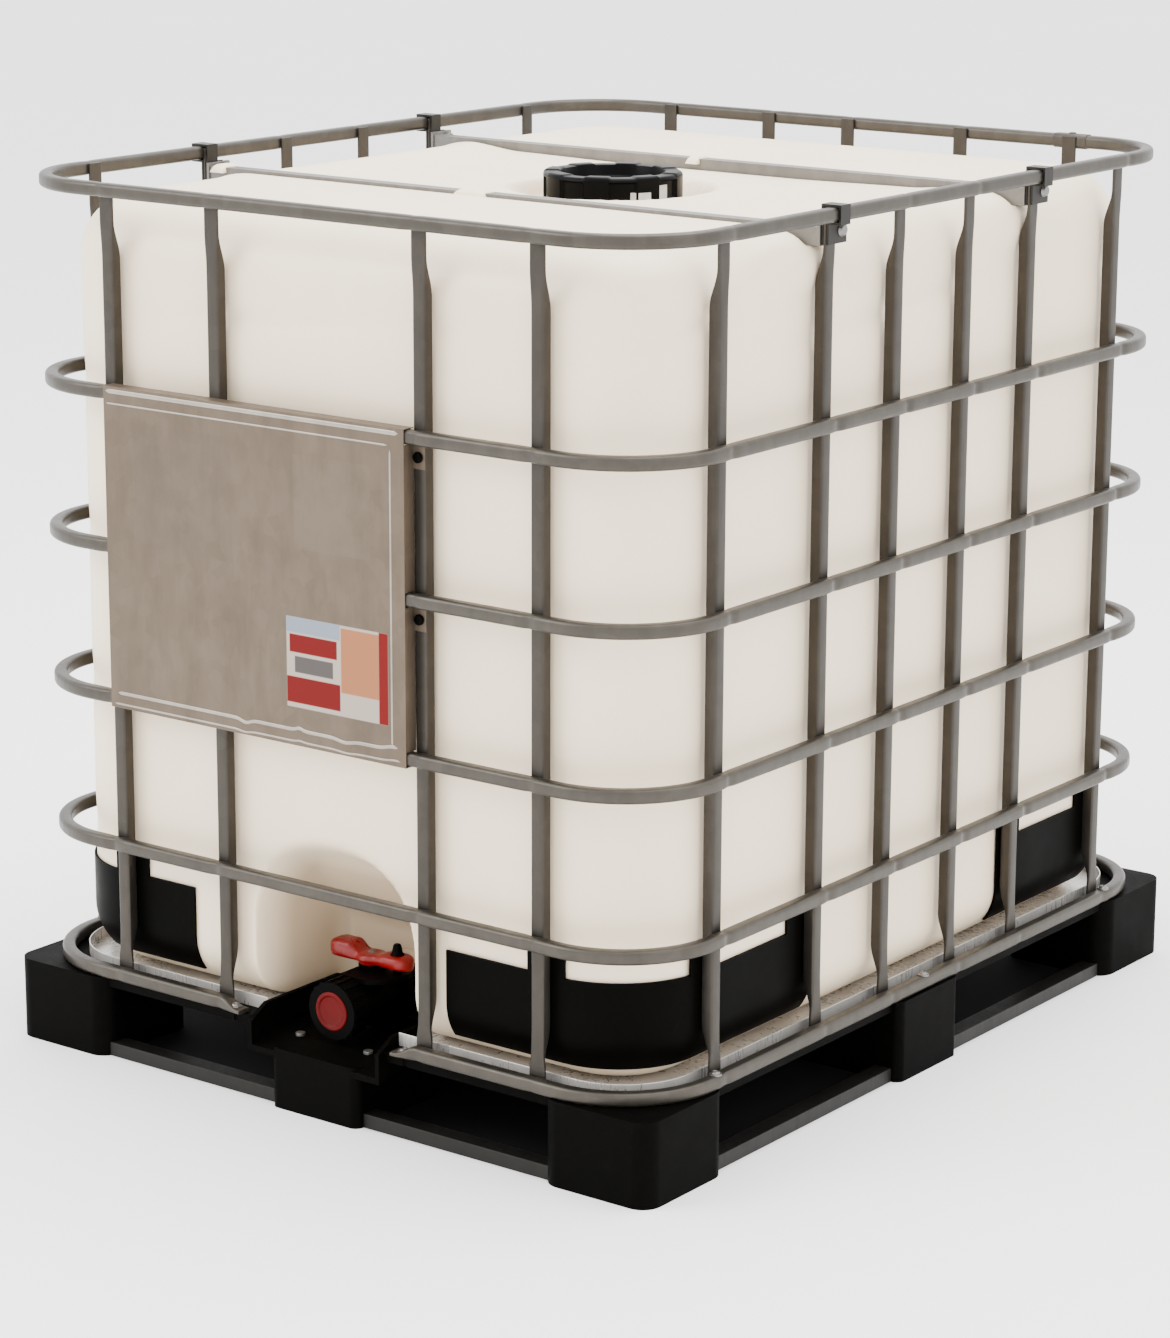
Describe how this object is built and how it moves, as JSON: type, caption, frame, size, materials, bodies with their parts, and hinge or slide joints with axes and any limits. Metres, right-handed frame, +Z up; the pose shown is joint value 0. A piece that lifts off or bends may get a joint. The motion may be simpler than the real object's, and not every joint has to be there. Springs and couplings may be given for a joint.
{
  "type": "intermediate bulk container",
  "caption": "Blown plastic bulk tank in a welded tube cage on a pallet with fork pockets, with a screw lid on top and a butterfly outlet valve at the bottom front.",
  "frame": {"origin": "centre of the footprint, on the floor", "axes": "+Z up, -Y the front with the outlet valve and the plate, +X to the right seen from the front"},
  "size_m": [1, 1.2, 1.11],
  "materials": {
    "foot_plastic": "moulded, dusty",
    "pan_steel": "galvanised sheet",
    "runner_steel": "galvanised, scuffed",
    "fastener_steel": "zinc plated",
    "cage_hoop_steel": "galvanised tube",
    "cage_upright_steel": "galvanised tube",
    "crossbar_steel": "galvanised tube",
    "plate_steel": "dull galvanised sheet",
    "guard_plastic": "moulded black",
    "tank_plastic": "natural polyethylene",
    "seal_rubber": "EPDM",
    "lid_plastic": "moulded black",
    "red_plastic": "moulded red",
    "valve_plastic": "moulded black"
  },
  "bodies": {
    "root": {"foot_front_left": "foot_plastic", "foot_front_right": "foot_plastic", "foot_back_left": "foot_plastic", "foot_back_right": "foot_plastic", "foot_mid_left": "foot_plastic", "foot_mid_right": "foot_plastic", "foot_mid_back": "foot_plastic", "foot_centre": "foot_plastic", "foot_valve_trough": "foot_plastic", "pallet_deck": "foot_plastic", "floor_pan": "pan_steel", "runner_front": "runner_steel", "runner_back": "runner_steel", "runner_left": "runner_steel", "runner_right": "runner_steel", "runner_centre": "runner_steel", "foot_screws": "fastener_steel", "cage_screws": "fastener_steel", "ring_bottom": "cage_hoop_steel", "hoop_1": "cage_hoop_steel", "hoop_2": "cage_hoop_steel", "hoop_3": "cage_hoop_steel", "hoop_4": "cage_hoop_steel", "ring_top": "cage_hoop_steel", "uprights_front": "cage_upright_steel", "uprights_back": "cage_upright_steel", "uprights_left": "cage_upright_steel", "uprights_right": "cage_upright_steel", "crossbar_front": "crossbar_steel", "crossbar_back": "crossbar_steel", "crossbar_straps": "crossbar_steel", "strap_bolts": "fastener_steel", "strap_nuts": "fastener_steel", "id_plate": "plate_steel", "plate_clips": "guard_plastic", "guard_front_left": "guard_plastic", "guard_front_right": "guard_plastic", "guard_back_left": "guard_plastic", "guard_back_right": "guard_plastic", "tank": "tank_plastic", "nozzle_seal": "seal_rubber", "union_nut": "valve_plastic", "valve_body": "valve_plastic", "valve_seat": "seal_rubber", "stem_seal": "seal_rubber"},
    "valve_handle": {"valve_disc": "valve_plastic", "valve_stem": "fastener_steel", "lever": "red_plastic", "lever_screw": "fastener_steel"},
    "pin": {"lock_pin": "valve_plastic"},
    "cap_washer": {"cap_seal": "seal_rubber"},
    "cap": {"outlet_cap": "valve_plastic", "cap_insert": "red_plastic"},
    "lid_washer": {"lid_seal": "seal_rubber"},
    "lid": {"fill_lid": "lid_plastic"}
  },
  "joints": [
    {"name": "lever_turn", "type": "hinge", "parent": "root", "child": "valve_handle", "pos_m": [0, -0.4867, 0.171], "axis": [0, 0, 1], "range_deg": [-90, 0]},
    {"name": "pin_lift", "type": "slide", "parent": "valve_handle", "child": "pin", "axis": [0, 0, 1], "range_m": [0, 0.012]},
    {"name": "cap_travel", "type": "slide", "parent": "root", "child": "cap_washer", "axis": [0, -1, 0], "range_m": [0, 0.018]},
    {"name": "cap_turn", "type": "hinge", "parent": "cap_washer", "child": "cap", "pos_m": [0, -0.5517, 0.126], "axis": [0, -1, 0], "range_deg": [0, 1080]},
    {"name": "lid_travel", "type": "slide", "parent": "root", "child": "lid_washer", "axis": [0, 0, 1], "range_m": [0, 0.028]},
    {"name": "lid_turn", "type": "hinge", "parent": "lid_washer", "child": "lid", "pos_m": [0, 0, 1.06], "axis": [0, 0, 1], "range_deg": [0, 1440]}
  ],
  "couplings": [
    {"joint": "cap_turn", "follows": "cap_travel", "rad_per_m": 1047.2},
    {"joint": "lid_turn", "follows": "lid_travel", "rad_per_m": 897.6}
  ]
}
